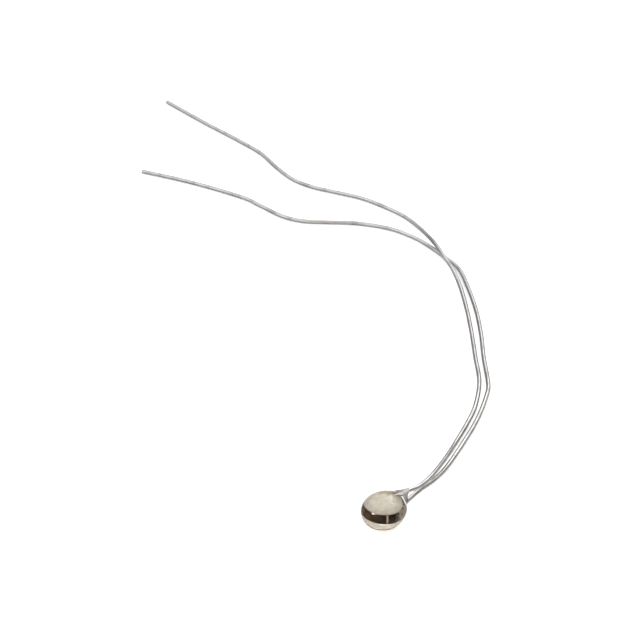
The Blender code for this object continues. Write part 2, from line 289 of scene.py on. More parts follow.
@dataclass(frozen=True)
class CeramicFinish:
    """Sintered oxide: brown-black, fine pressed grain, pale specks, a painted highlight streak and a side
    painted paler.
    """

    dark: Colour = (0.009, 0.0045, 0.002)
    brown: Colour = (0.038, 0.018, 0.006)
    brown_spots: Grain = Grain(2.2, 3.0, 0.35, 0.68)
    fleck: Colour = (0.13, 0.10, 0.07)
    flecks: Grain = Grain(15.0, 2.0, 0.62, 0.74)
    # Painted light: the side of the chip that faces this way is blended to this paler brown, standing in for
    # light let through at the resin's edge.
    painted_pale_side: Colour = (0.35, 0.275, 0.24)
    painted_side_way: Triple = (0.45, -0.89, 0.0)
    painted_side_span: Pair = (0.76, 1.05)
    painted_side_edge: Grain = Grain(4.0, start=-0.12, end=0.12)
    # Painted highlight: the streak down the side at this bearing stands in for a reflected light, and it and
    # the pale specks take this pale colour.
    silver: Colour = (0.32, 0.275, 0.225)
    streak_bearing: float = math.radians(-128.5)
    streak_width: float = 0.055
    streak_start: float = 0.1
    streak_edge: Grain = Grain(6.0, start=-0.035, end=0.035)
    pale_specks: Grain = Grain(8.0, 2.0, 0.70, 0.77, rough=0.6)
    spot_cover: float = 0.55
    roughness: Grain = Grain(9.0, start=0.34, end=0.6)
    pressed: Grain = Grain(45.0, 4.0)
    pressed_depth: float = 0.004
    gloss: float = 0.04

    def highlight_streak_and_specks(self, desk: NodeDesk, place: NodeSocket) -> NodeSocket:
        """Return the mask of a painted highlight streak down the side, from face to face, and of a few pale
        specks.

        Args:
            desk: The desk on the ceramic's tree.
            place: Coordinates in mm, from the chip's centre.

        Returns:
            The socket that gives 1 on the painted streak and the specks, and 0 elsewhere.
        """
        east, north = math.cos(self.streak_bearing), math.sin(self.streak_bearing)
        across = desk.vectors("DOT_PRODUCT", place, (-north, east, 0.0))
        ahead = desk.vectors("DOT_PRODUCT", place, (east, north, 0.0))
        off = desk.math("ABSOLUTE", desk.math("ADD", across, desk.spots(place, self.streak_edge)))
        highlight_streak = desk.span(off, self.streak_width, 0.5 * self.streak_width)
        highlight_streak = desk.math("MULTIPLY", highlight_streak, desk.span(ahead, 0.0, self.streak_start))
        spots = desk.math("MULTIPLY", desk.spots(place, self.pale_specks), self.spot_cover)
        return desk.math("MAXIMUM", highlight_streak, spots)

    def material(self, head: Head) -> Material:
        """Make the material.

        Args:
            head: Place and lean of the chip.

        Returns:
            The material.
        """
        desk = MaterialDesk("sintered_ceramic")
        place = desk.place(head)
        base = desk.blend(desk.spots(place, self.brown_spots), self.dark, self.brown)
        base = desk.blend(desk.spots(place, self.flecks), base, self.fleck)
        # Painted light: the side facing one way is blended paler, by its direction from the centre.
        facing = desk.vectors("DOT_PRODUCT", place, self.painted_side_way)
        facing = desk.math("ADD", facing, desk.spots(place, self.painted_side_edge))
        base = desk.blend(desk.span(facing, *self.painted_side_span), base, self.painted_pale_side)
        return desk.dress({
            # The pale streak blended in here is a painted highlight.
            "Base Color": desk.blend(self.highlight_streak_and_specks(desk, place), base, self.silver),
            "Roughness": desk.spots(place, self.roughness),
            "Specular IOR Level": self.gloss,
            "Normal": desk.bump(desk.noise(place, self.pressed), self.pressed_depth),
        })


@dataclass(frozen=True)
class SilverFinish:
    """Fired silver: cream and grey mottles, a fine grain, and a tanned outer edge."""

    name: str = "fired_silver"
    cream: Colour = (0.62, 0.575, 0.495)
    grey: Colour = (0.49, 0.46, 0.415)
    mottles: Grain = Grain(2.6, 4.0, 0.36, 0.66, rough=0.55, shift=0.4)
    bright: Colour = (0.69, 0.65, 0.585)
    patches: Grain = Grain(1.3, 2.0, 0.5, 0.7, stretch=(1.3, 1.0, 1.0))
    patch_cover: float = 0.7
    grit: Grain = Grain(22.0, 2.0, 0.45, 0.8, 0.0, 0.25)
    tan: Colour = (0.34, 0.26, 0.155)
    tan_span: Pair = (0.86, 1.00)
    tan_edge: Grain = Grain(5.0, 3.0, 0.0, 1.0, -0.05, 0.05)
    roughness: Grain = Grain(7.0, start=0.38, end=0.58)
    metal: float = 0.25
    brushed: Grain = Grain(6.0)
    brushed_depth: float = 0.010
    fired: Grain = Grain(30.0)
    fired_depth: float = 0.003

    def material(self, head: Head) -> Material:
        """Make the material.

        Args:
            head: Place and lean of the chip.

        Returns:
            The material.
        """
        desk = MaterialDesk(self.name)
        place = desk.place(head)
        base = desk.blend(desk.spots(place, self.mottles), self.cream, self.grey)
        patch = desk.math("MULTIPLY", desk.spots(place, self.patches), self.patch_cover)
        base = desk.blend(patch, base, self.bright)
        base = desk.blend(desk.spots(place, self.grit), base, self.grey)
        reach = desk.vectors("LENGTH", desk.vectors("MULTIPLY", place, (1.0, 1.0, 0.0)))
        reach = desk.math("ADD", reach, desk.spots(place, self.tan_edge))
        coarse = desk.bump(desk.noise(place, self.brushed), self.brushed_depth)
        return desk.dress({
            "Base Color": desk.blend(desk.span(reach, *self.tan_span), base, self.tan),
            "Roughness": desk.spots(place, self.roughness),
            "Metallic": self.metal,
            "Normal": desk.bump(desk.noise(place, self.fired), self.fired_depth, coarse),
        })


@dataclass(frozen=True)
class SolderFinish:
    """Soft solder: satin grey-white, with duller frosted patches and a foot in the silver's colour."""

    bright: Colour = (0.64, 0.605, 0.55)
    frosted: Colour = (0.61, 0.575, 0.51)
    frost: Grain = Grain(6.0, 4.0, 0.4, 0.62)
    foot: Colour = (0.58, 0.535, 0.46)
    foot_span: Pair = (0.42, 0.29)
    roughness: Pair = (0.36, 0.55)
    metal: float = 0.25
    lumps: Grain = Grain(14.0)
    lump_depth: float = 0.006

    def material(self, head: Head) -> Material:
        """Make the material.

        Args:
            head: Place and lean of the chip.

        Returns:
            The material.
        """
        desk = MaterialDesk("soft_solder")
        place = desk.place(head)
        frost = desk.spots(place, self.frost)
        height = desk.math("ABSOLUTE", desk.part(place, "Z"))
        foot = desk.span(height, *self.foot_span)
        return desk.dress({
            "Base Color": desk.blend(foot, desk.blend(frost, self.bright, self.frosted), self.foot),
            "Roughness": desk.span(frost, 0.0, 1.0, *self.roughness),
            "Metallic": self.metal,
            "Normal": desk.bump(desk.noise(place, self.lumps), self.lump_depth),
        })


@dataclass(frozen=True)
class TinFinish:
    """Tinned wire: bright, with drawn lines along it, small dents and dull handled patches."""

    bright: Colour = (0.52, 0.505, 0.49)
    dull: Colour = (0.38, 0.365, 0.35)
    handled: Grain = Grain(1.0, 4.0, 0.46, 0.68, rough=0.6, stretch=(0.7, 0.7, 0.9))
    roughness: Pair = (0.28, 0.42)
    drawn: Grain = Grain(1.0, stretch=(5.0, 5.0, 0.8))
    drawn_depth: float = 0.0035
    dents: Grain = Grain(1.0, 2.0, 0.55, 0.72, stretch=(0.8, 0.8, 2.0))
    dent_depth: float = 0.006

    def material(self) -> Material:
        """Make the material.

        Returns:
            The material.
        """
        desk = MaterialDesk("tinned_copper_wire")
        along = desk.wire_place()
        handled = desk.spots(along, self.handled)
        lines = desk.bump(desk.noise(along, self.drawn), self.drawn_depth)
        return desk.dress({
            "Base Color": desk.blend(handled, self.bright, self.dull),
            "Roughness": desk.span(handled, 0.0, 1.0, *self.roughness),
            "Metallic": 1.0,
            "Normal": desk.bump(desk.spots(along, self.dents), self.dent_depth, lines),
        })


@dataclass(frozen=True)
class ResinFinish:
    """Clear epoxy with a yellow cast, faintly rippled, a painted amber shade at its rear rim, and cloudy in
    the neck.
    """

    clear: Colour = (0.985, 0.965, 0.915)
    yellow: Colour = (0.97, 0.93, 0.83)
    yellow_spots: Grain = Grain(1.1, 2.0, 0.35, 0.65)
    # Painted shade: the rear rim, away from the neck, is tinted this darker amber, standing in for the shade
    # at the resin's refracting edge.
    painted_rim_shade: Colour = (0.66, 0.55, 0.41)
    painted_rim_way: Triple = (0.42, 0.35, 0.84)
    painted_rim_span: Pair = (0.80, 0.95)
    painted_rim_ahead: Pair = (1.05, 0.75)
    cloudy: Colour = (0.80, 0.78, 0.76)
    neck_span: Pair = (1.12, 1.50)
    neck_clear: float = 0.72
    neck_rough: float = 0.18
    web: Colour = (0.24, 0.225, 0.215)
    web_ahead: Pair = (1.10, 1.35)
    web_height: Pair = (0.36, 0.20)
    dust: Grain = Grain(8.0, 3.0, 0.5, 0.75, 0.035, 0.07)
    ripples: Grain = Grain(2.5, 1.0)
    ripple_depth: float = 0.003
    bend: float = 1.5
    gloss: float = 0.24

    def material(self, head: Head) -> Material:
        """Make the material.

        Args:
            head: Place and lean of the chip.

        Returns:
            The material.
        """
        desk = MaterialDesk("clear_epoxy")
        place = desk.place(head)
        ahead = desk.part(place, "X")
        height = desk.math("ABSOLUTE", desk.part(place, "Z"))
        neck = desk.span(ahead, *self.neck_span)
        web = desk.math("MULTIPLY", desk.span(ahead, *self.web_ahead), desk.span(height, *self.web_height))
        # Painted shade: the rear rim is tinted amber by its direction from the centre.
        rear = desk.vectors("DOT_PRODUCT", place, self.painted_rim_way)
        rim = desk.math("MULTIPLY", desk.span(rear, *self.painted_rim_span), desk.span(ahead, *self.painted_rim_ahead))
        tint = desk.blend(desk.spots(place, self.yellow_spots), self.clear, self.yellow)
        tint = desk.blend(neck, desk.blend(rim, tint, self.painted_rim_shade), self.cloudy)
        return desk.dress({
            "Base Color": desk.blend(web, tint, self.web),
            "Roughness": desk.math("MULTIPLY_ADD", neck, self.neck_rough, desk.spots(place, self.dust)),
            "Transmission Weight": desk.span(neck, 0.0, 1.0, 1.0, self.neck_clear),
            "IOR": self.bend,
            "Specular Tint": (self.gloss, self.gloss, self.gloss),
            "Normal": desk.bump(desk.noise(place, self.ripples), self.ripple_depth),
        })


@dataclass(frozen=True)
class FloorFinish:
    """White table top. The picture and glass see it white, gloss sees it darker, and it keeps the shadow."""

    white: Colour = (0.88, 0.88, 0.88)
    in_gloss: Colour = (0.70, 0.69, 0.68)
    lift: float = 0.45

    def material(self) -> Material:
        """Make the material.

        Returns:
            The material.
        """
        desk = MaterialDesk("white_table")
        light = desk.add("ShaderNodeLightPath").outputs
        seen = desk.math("MAXIMUM", light["Is Camera Ray"], light["Is Transmission Ray"])
        return desk.dress({
            "Base Color": desk.blend(light["Is Glossy Ray"], self.white, self.in_gloss),
            "Roughness": 1.0,
            "Specular IOR Level": 0.0,
            "Emission Color": (1.0, 1.0, 1.0),
            "Emission Strength": desk.math("MULTIPLY", seen, self.lift),
        })


@dataclass(frozen=True)
class CardFinish:
    """Matt black card."""

    black: Colour = (0.03, 0.03, 0.03)

    def material(self) -> Material:
        """Make the material."""
        desk = MaterialDesk("dark_card")
        return desk.dress({"Base Color": self.black, "Roughness": 1.0})


def put(name: str, data: ID) -> Object:
    """Put an object in the scene.

    Args:
        name: Its name.
        data: Its mesh, curve, light or camera.

    Returns:
        The object.
    """
    thing = bpy.data.objects.new(name, data)
    bpy.context.scene.collection.objects.link(thing)
    return thing


def finish_piece(name: str, mesh: Mesh, material: Material, node: str) -> None:
    """Put a finished mesh in the scene as a piece that rides on the part.

    Args:
        name: The piece's name.
        mesh: Its mesh, already in place.
        material: Its finish.
        node: The solid that it stands for.
    """
    piece = put(name, mesh)
    mesh.materials.clear()
    mesh.materials.append(material)
    for face in mesh.polygons:
        face.use_smooth = True
    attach(piece, BODY)
    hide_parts(node)
    LOG.info("%s: %d faces", name, len(mesh.polygons))


def plain_mesh(bm: BMesh, name: str) -> Mesh:
    """Turn a bmesh into a mesh, and let it go.

    Args:
        bm: The mesh being made.
        name: The mesh's name.

    Returns:
        The mesh.
    """
    mesh = bpy.data.meshes.new(name)
    bm.to_mesh(mesh)
    bm.free()
    return mesh


def closed_mesh(bm: BMesh, name: str, move: Matrix) -> Mesh:
    """Weld a bmesh, turn its faces outwards, and make it a mesh in its place.

    Args:
        bm: The mesh being made.
        name: The mesh's name.
        move: Where it goes.

    Returns:
        The mesh.
    """
    bmesh.ops.remove_doubles(bm, verts=bm.verts, dist=WELD)
    bmesh.ops.recalc_face_normals(bm, faces=bm.faces)
    bm.transform(move)
    return plain_mesh(bm, name)


def settled_mesh(rough: Object, name: str) -> Mesh:
    """Turn an object and its modifiers into a plain mesh, and remove the object.

    Args:
        rough: The object.
        name: The mesh's name.

    Returns:
        The mesh.
    """
    bpy.context.view_layer.update()
    graph = bpy.context.evaluated_depsgraph_get()
    mesh = bpy.data.meshes.new_from_object(rough.evaluated_get(graph))
    mesh.name = name
    bpy.data.objects.remove(rough, do_unlink=True)
    return mesh


def add_wall(bm: BMesh, inner: list[BMVert], outer: list[BMVert]) -> None:
    """Add the faces between two rings of as many vertices."""
    for quad in zip(inner, inner[1:] + inner[:1], outer[1:] + outer[:1], outer):
        bm.faces.new(quad)


def add_fan(bm: BMesh, ring: list[BMVert], hub: BMVert) -> None:
    """Add the faces between a ring of vertices and a hub."""
    for near, after in zip(ring, ring[1:] + ring[:1]):
        bm.faces.new((near, after, hub))


@dataclass(frozen=True)
class Piece:
    """What the pieces share: their sizes, and the head of the thermistor."""

    sizes: Sizes
    head: Head


@dataclass(frozen=True)
class Chip(Piece):
    """The pressed and sintered ceramic disc, turned round its axis from a profile with rounded edges."""

    edge: float = 0.035 * MM
    edge_steps: int = 5
    wall_steps: int = 6
    core: float = 0.5
    wobble: float = 0.006 * MM
    waves_round: float = 2.5
    waves_up: float = 3.0
    sides: int = 120

    def profile(self) -> list[Pair]:
        """Return the profile, from the lower face over both edges to the upper one.

        Returns:
            Radius and height of each ring.
        """
        radius, half = self.sizes.chip_radius, self.sizes.chip_half
        turns = [math.pi / 2 * step / self.edge_steps for step in range(self.edge_steps + 1)]
        low = [(radius - self.edge * (1 - math.sin(turn)), -half + self.edge * (1 - math.cos(turn)))
               for turn in turns]
        high = [(r, -h) for r, h in reversed(low)]
        straight = 2 * half - 2 * self.edge
        wall = [(radius, -half + self.edge + straight * step / self.wall_steps)
                for step in range(1, self.wall_steps)]
        inner = self.core * radius
        return [(inner, -half)] + low + wall + high + [(inner, half)]

    def build(self, finish: CeramicFinish) -> None:
        """Build the chip.

        Args:
            finish: The ceramic.
        """
        bm = bmesh.new()
        rings = []
        for radius, height in self.profile():
            rings.append([])
            for index in range(self.sides):
                angle = 2 * math.pi * index / self.sides
                out = Vector((math.cos(angle), math.sin(angle), 0.0))
                spot = (self.waves_round * out.x, self.waves_round * out.y, height / MM * self.waves_up)
                reach = out * (radius + self.wobble * noise.noise(Vector(spot)))
                rings[-1].append(bm.verts.new(reach + Vector((0.0, 0.0, height))))
        for lower, upper in zip(rings, rings[1:]):
            add_wall(bm, lower, upper)
        for ring in (rings[0], rings[-1]):
            add_fan(bm, ring, bm.verts.new((0.0, 0.0, ring[0].co.z)))
        mesh = closed_mesh(bm, "ceramic_chip", self.head.matrix())
        finish_piece("ceramic_chip", mesh, finish.material(self.head), "ntc_chip")


@dataclass(frozen=True)
class SilveredFace(Piece):
    """A layer of fired silver on one flat face, brushed on, so its edge is uneven."""

    side: Side
    margin: float = 0.065 * MM
    shift: Pair = (-0.029 * MM, 0.034 * MM)
    bite: float = 0.004 * MM
    ragged: float = 0.016 * MM
    ragged_waves: float = 3.0
    ragged_seed: float = 4.0
    swell: float = 0.005 * MM
    swell_waves: float = 2.5
    fall: float = 0.5
    fall_from: float = 0.9
    fall_rate: float = 10.0
    sides: int = 120
    rings: int = 24

    def build(self, material: Material) -> None:
        """Build the layer.

        Args:
            material: The fired silver.
        """
        bm = bmesh.new()
        rims = []
        for level in (0, 1):
            rows = [[self.point(bm, ring, index, level) for index in range(self.sides)]
                    for ring in range(1, self.rings + 1)]
            add_fan(bm, rows[0], self.point(bm, 0, 0, level))
            for inner, outer in zip(rows, rows[1:]):
                add_wall(bm, inner, outer)
            rims.append(rows[-1])
        add_wall(bm, *rims)
        name = "silvered_face_" + self.side.word
        mesh = closed_mesh(bm, name, self.head.matrix())
        finish_piece(name, mesh, material, "electrode_" + self.side.word)

    def point(self, bm: BMesh, ring: int, index: int, level: int) -> BMVert:
        """Add one point of the layer.

        Args:
            bm: The mesh to add to.
            ring: Its ring, from the middle out.
            index: Its place round the ring.
            level: 0 for the side on the ceramic, 1 for the open side.

        Returns:
            The vertex.
        """
        sign, sizes = self.side.value, self.sizes
        angle = 2 * math.pi * index / self.sides
        share = ring / self.rings
        out = Vector((math.cos(angle), math.sin(angle), 0.0))
        spot = (self.ragged_waves * out.x, self.ragged_waves * out.y, self.ragged_seed * sign)
        flat = out * (sizes.chip_radius - self.margin + self.ragged * noise.noise(Vector(spot))) * share
        height = sizes.face_top if level else sizes.chip_half - self.bite
        wave = noise.noise(flat / MM * self.swell_waves) * self.swell * level
        depth = self.fall * (sizes.face_top - sizes.face_base) * level
        fall = depth * max(0.0, share - self.fall_from) * self.fall_rate
        place = flat + Vector((*self.shift, 0.0))
        return bm.verts.new((place.x, place.y, sign * (height + wave - fall)))


@dataclass(frozen=True)
class SolderJoint(Piece):
    """The low mound of solder that holds a lead's end on a silvered face."""

    side: Side
    length: float = 0.70 * MM
    width: float = 0.68 * MM
    tail: float = 0.27 * MM
    sink: float = 0.01 * MM
    roundness: float = 1.3
    lump: float = 0.10
    lump_waves: float = 2.0
    lump_seed: float = 7.0
    ripple: float = 0.012 * MM
    ripple_waves: float = 5.0
    sides: int = 64
    rings: int = 20

    def build(self, material: Material) -> None:
        """Build the joint.

        Args:
            material: The solder.
        """
        sign, sizes = self.side.value, self.sizes
        middle = Vector((sizes.lead_start - self.tail + self.length / 2, sizes.lead_offset, 0.0))
        base = sizes.face_top - self.sink
        rise = sizes.solder_peak - base
        bm = bmesh.new()
        rows = []
        for ring in range(1, self.rings + 1):
            share = ring / self.rings
            rows.append([])
            for index in range(self.sides):
                angle = 2 * math.pi * index / self.sides
                east, north = math.cos(angle), math.sin(angle)
                out = Vector((self.length / 2 * east, self.width / 2 * north, 0.0))
                spot = Vector((self.lump_waves * east, self.lump_waves * north, self.lump_seed * sign))
                flat = middle + out * share * (1.0 + self.lump * noise.noise(spot))
                mound = rise * (1 - share ** 2) ** self.roundness
                mound += self.ripple * (1 - share) * noise.noise(flat / MM * self.ripple_waves)
                rows[-1].append(bm.verts.new((flat.x, flat.y, sign * (base + mound))))
        for row, height in ((rows[0], base + rise), (rows[-1], base - self.sink)):
            add_fan(bm, row, bm.verts.new((middle.x, middle.y, sign * height)))
        for inner, outer in zip(rows, rows[1:]):
            add_wall(bm, inner, outer)
        name = "solder_joint_" + self.side.word
        mesh = closed_mesh(bm, name, self.head.matrix())
        finish_piece(name, mesh, material, "solder_" + self.side.word)


class WireTree:
    """The node tree that draws a round wire along a curve."""

    FLOATS = (
        ("Radius", 0.125 * MM),
        ("Step", 0.10 * MM),
        ("Unevenness", 0.02),
        ("Wave Length", 1.6 * MM),
        ("Seed Step", 17.3),
    )
    WHOLES = (("Sides", 32), ("Seed", 1))

    def __init__(self) -> None:
        """Build the tree once, for both leads."""
        self.tree = bpy.data.node_groups.new("drawn_wire", "GeometryNodeTree")
        face = self.tree.interface
        face.new_socket("Geometry", in_out="INPUT", socket_type="NodeSocketGeometry")
        for kind, values in (("NodeSocketFloat", self.FLOATS), ("NodeSocketInt", self.WHOLES)):
            for name, value in values:
                face.new_socket(name, in_out="INPUT", socket_type=kind).default_value = value
        face.new_socket("Finish", in_out="INPUT", socket_type="NodeSocketMaterial")
        face.new_socket("Geometry", in_out="OUTPUT", socket_type="NodeSocketGeometry")
        self.join(NodeDesk(self.tree))

    def join(self, desk: NodeDesk) -> None:
        """Add the nodes: even steps, an uneven radius, the tube, its own coordinates and its finish.

        Args:
            desk: The desk on the tree.
        """
        given = desk.add("NodeGroupInput").outputs
        even = desk.add("GeometryNodeResampleCurve", {"Curve": given["Geometry"], "Length": given["Step"]},
                        mode="LENGTH").outputs["Curve"]
        length = desk.add("GeometryNodeSplineParameter").outputs["Length"]
        phase = desk.math("ADD", desk.math("DIVIDE", length, given["Wave Length"]),
                          desk.math("MULTIPLY", given["Seed"], given["Seed Step"]))
        waves = desk.add("ShaderNodeTexNoise", {"W": phase, "Scale": 1.0, "Detail": 2.0},
                         noise_dimensions="1D").outputs[0]
        centred = desk.math("SUBTRACT", waves, 0.5)
        radius = desk.math("MULTIPLY_ADD", centred, given["Unevenness"], 1.0)
        swollen = desk.add("GeometryNodeSetCurveRadius", {"Curve": even, "Radius": radius}).outputs[0]
        kept = desk.add("GeometryNodeCaptureAttribute", domain="POINT")
        kept.capture_items.new("FLOAT", "Along")
        desk.feed(kept, {"Geometry": swollen, "Along": length})
        ring = desk.add("GeometryNodeCurvePrimitiveCircle",
                        {"Resolution": given["Sides"], "Radius": given["Radius"]}).outputs[0]
        around = desk.add("GeometryNodeCaptureAttribute", domain="POINT")
        around.capture_items.new("VECTOR", "Around")
        desk.feed(around, {"Geometry": ring, "Around": desk.add("GeometryNodeInputPosition").outputs[0]})
        tube = desk.add("GeometryNodeCurveToMesh", {
            "Curve": kept.outputs["Geometry"],
            "Profile Curve": around.outputs["Geometry"],
            "Fill Caps": True,
        })
        if "Scale" in tube.inputs:
            desk.feed(tube, {"Scale": desk.add("GeometryNodeInputRadius").outputs[0]})
        spread = desk.vectors("MULTIPLY", around.outputs["Around"], (1 / MM,) * 3)
        lift = desk.add("ShaderNodeCombineXYZ", {"Z": desk.math("DIVIDE", kept.outputs["Along"], MM)})
        stored = desk.add("GeometryNodeStoreNamedAttribute", {
            "Geometry": tube.outputs[0], "Name": "wire_space",
        }, data_type="FLOAT_VECTOR", domain="POINT")
        value = next(n for n, s in enumerate(stored.inputs) if s.name == "Value" and s.enabled)
        desk.feed(stored, {value: desk.vectors("ADD", spread, lift.outputs[0])})
        real = desk.add("GeometryNodeRealizeInstances", {"Geometry": stored.outputs[0]}).outputs[0]
        dressed = desk.add("GeometryNodeSetMaterial", {"Geometry": real, "Material": given["Finish"]})
        desk.add("NodeGroupOutput", {"Geometry": dressed.outputs[0]})

    def draw(self, name: str, line: list[Vector], sizes: dict[str, object]) -> Mesh:
        """Return the wire as a plain mesh.

        Args:
            name: The mesh's name.
            line: The points that it follows.
            sizes: Values for the tree's inputs, by name.

        Returns:
            The mesh.
        """
        curve = bpy.data.curves.new(name + "_line", "CURVE")
        curve.dimensions = "3D"
        spline = curve.splines.new("POLY")
        spline.points.add(len(line) - 1)
        for point, place in zip(spline.points, line):
            point.co = (*place, 1.0)
        guide = put(name + "_line", curve)
        drawn = guide.modifiers.new("wire", "NODES")
        drawn.node_group = self.tree
        keys = {s.name: s.identifier for s in self.tree.interface.items_tree if s.in_out == "INPUT"}
        for label, value in sizes.items():
            drawn[keys[label]] = value
        mesh = settled_mesh(guide, name)
        bpy.data.curves.remove(curve)
        return mesh


@dataclass(frozen=True)
class Lead(Piece):
    """One tinned wire lead, from its solder to its cut end."""

    side: Side
    route: tuple[tuple[float, ...], ...]
    neck_stop: float = 0.15 * MM
    step: float = 0.2 * MM
    seed: int = 1

    def points(self) -> list[Vector]:
        """Return the points that the lead passes.

        Returns:
            The points in the floor's space, from the chip's face outwards.
        """
        sign, sizes, head = self.side.value, self.sizes, self.head
        steps = (
            (sizes.lead_start, sizes.lead_offset, sign * sizes.lead_axis),
            (sizes.chip_radius - sizes.lead_rim_gap, sizes.lead_offset, sign * sizes.lead_axis),
            (sizes.neck_end - self.neck_stop, sizes.neck_offset, sign * sizes.neck_lead_axis),
        )
        points = [head.matrix() @ Vector(step) for step in steps]
        rise = points[-1].z - sizes.lead_radius
        for stop in self.route:
            east, north, kept, over = (*stop, 0.0, 0.0)[:4]
            points.append(Vector((
                head.centre.x + east * MM,
                head.centre.y - head.step_north + north * MM,
                sizes.lead_radius + kept * rise + over * sizes.cross_rise,
            )))
        return points

    def line(self) -> list[Vector]:
        """Draw a smooth line through the points.

        Returns:
            The line in short steps.
        """
        points = self.points()
        ends = [2 * points[0] - points[1]] + points + [2 * points[-1] - points[-2]]
        line = []
        for index in range(1, len(ends) - 2):
            before, start, finish, after = ends[index - 1:index + 3]
            count = max(1, round((finish - start).length / self.step))
            for step in range(count):
                t = step / count
                line.append(0.5 * (
                    2 * start + (finish - before) * t
                    + (2 * before - 5 * start + 4 * finish - after) * t ** 2
                    + (3 * start - before - 3 * finish + after) * t ** 3
                ))
        return line + [points[-1]]

    def build(self, tree: WireTree, material: Material) -> None:
        """Build the lead.

        Args:
            tree: The tree that draws it.
            material: The tinned wire.
        """
        name = "tinned_lead_" + self.side.word
        sizes = {"Radius": self.sizes.lead_radius, "Seed": self.seed, "Finish": material}
        mesh = tree.draw(name, self.line(), sizes)
        finish_piece(name, mesh, material, "lead_" + self.side.word)


@dataclass(frozen=True)
class NeckRing:
    """One ring of the neck: how far out, and how the resin stands round the leads there."""

    distance: float
    axis: float
    film: float
    web: float
    hollow: float


@dataclass(frozen=True)
class ResinBead(Piece):
    """The clear bead and its neck, as one skin from a cage that is extruded and subdivided.

    Saddle, flank and cap are the cage's widths from the neck's middle to its edges, rises and dips its
    shares of the leads' height and of the hollow there. Below the tuck the bead's front stands less far out.
    """

    squareness_above: float = 2.05
    squareness_below: float = 2.33
    tuck: float = 0.5
    hollow: float = 0.16 * MM
    saddle: float = 0.85
    flank: float = 1.22
    cap: float = 0.75
    cap_rise: float = 1.05
    rises: Triple = (0.0, 0.5, 0.98)
    dips: tuple[float, ...] = (1.0, 0.75, 0.15, 0.0)
    cuts: int = 6
    levels: int = 4

    def bead_point(self, direction: Vector) -> Vector:
        """Find the bead's outline in a direction.

        Args:
            direction: The direction from the bead's centre.

        Returns:
            The point of the outline.
        """
        above = direction.z > 0.0
        sizes = self.sizes
        below = min(1.0, max(0.0, -direction.normalized().z / self.tuck))
        below = below * below * (3.0 - 2.0 * below)
        ahead = sizes.coat_ahead + below * (sizes.coat_ahead_below - sizes.coat_ahead)
        reach = ahead if direction.x > 0.0 else sizes.coat_behind
        across = math.hypot(direction.x / reach, direction.y / sizes.coat_side)
        along = abs(direction.z) / (sizes.coat_above if above else sizes.coat_below)
        power = self.squareness_above if above else self.squareness_below
        return direction / (across ** power + along ** power) ** (1.0 / power)

    def rings(self) -> list[NeckRing]:
        """Set out the neck.

        Returns:
            Its rings, from the bead outwards.
        """
        sizes = self.sizes
        high, low = sizes.lead_axis, sizes.neck_lead_axis
        start = sizes.neck_start
        span = sizes.neck_end - start
        return [
            NeckRing(start, high, film=0.05 * MM, web=0.20 * MM, hollow=-0.24 * MM),
            NeckRing(start + 0.35 * span, 0.6 * high + 0.4 * low, film=0.025 * MM, web=0.13 * MM,
                     hollow=-0.12 * MM),
            NeckRing(start + 0.75 * span, low, film=0.018 * MM, web=0.08 * MM, hollow=0.0),
            NeckRing(sizes.neck_end, low, film=-0.03 * MM, web=0.05 * MM, hollow=self.hollow),
        ]

    def neck_place(self, column: int, row: int, ring: NeckRing) -> Vector:
        """Return the place of one cage vertex on a ring of the neck.

        Args:
            column: Its column on the cage's face, -1 to 1.
            row: Its row on the cage's face, -3 to 3.
            ring: The ring.

        Returns:
            The place, from the bead's centre.
        """
        level = abs(row)
        sleeve = self.sizes.lead_radius + ring.film
        heights = [rise * ring.axis for rise in self.rises] + [ring.axis + sleeve * self.cap_rise]
        widths = (self.saddle * ring.web, ring.web, self.flank * sleeve, self.cap * sleeve)
        height = math.copysign(heights[level], row) - self.sizes.coat_centre
        distance = ring.distance - ring.hollow * self.dips[level]
        return Vector((distance, self.sizes.neck_offset + column * widths[level], height))

    def cage(self) -> BMesh:
        """Make the coarse cage: a cube pulled onto the outline, with the neck extruded from its front.

        Returns:
            The cage, centred on the bead.
        """
        bm = bmesh.new()
        bmesh.ops.create_cube(bm, size=2.0)
        bmesh.ops.subdivide_edges(bm, edges=bm.edges[:], cuts=self.cuts - 1, use_grid_fill=True)
        half = self.cuts // 2
        grid = {vertex: vertex.co.copy() * half for vertex in bm.verts}
        # The neck grows from the two middle columns of the cube's front.
        region = [face for face in bm.faces
                  if all(grid[v].x > half - 0.1 and abs(grid[v].y) < 1.1 for v in face.verts)]
        # Subdivision draws the cage in, and the swell makes up for it.
        quarter = math.pi / 4
        swell = (6.0 / (4.0 + 2.0 * math.cos(2 * quarter / self.cuts))) ** 2
        for vertex, place in grid.items():
            spread = Vector([math.tan(quarter * value / half) for value in place])
            vertex.co = self.bead_point(spread) * swell
        for ring in self.rings():
            rim = {v for face in region for v in face.verts}
            places = {(round(v.co.y, 9), round(v.co.z, 9)): grid[v] for v in rim}
            grown = bmesh.ops.extrude_face_region(bm, geom=region)["geom"]
            bmesh.ops.delete(bm, geom=region, context="FACES")
            region = [part for part in grown if isinstance(part, BMFace)]
            for vertex in [part for part in grown if isinstance(part, BMVert)]:
                grid[vertex] = places[(round(vertex.co.y, 9), round(vertex.co.z, 9))]
                vertex.co = self.neck_place(round(grid[vertex].y), round(grid[vertex].z), ring)
        return bm

    def build(self, finish: ResinFinish) -> None:
        """Build the bead.

        Args:
            finish: The resin.
        """
        lift = Matrix.Translation((0.0, 0.0, self.sizes.coat_centre))
        cage = closed_mesh(self.cage(), "clear_bead_cage", self.head.matrix() @ lift)
        rough = put("clear_bead_cage", cage)
        fine = rough.modifiers.new("smooth", "SUBSURF")
        fine.levels = self.levels
        fine.render_levels = self.levels
        mesh = settled_mesh(rough, "clear_bead")
        finish_piece("clear_bead", mesh, finish.material(self.head), "clear_coat")


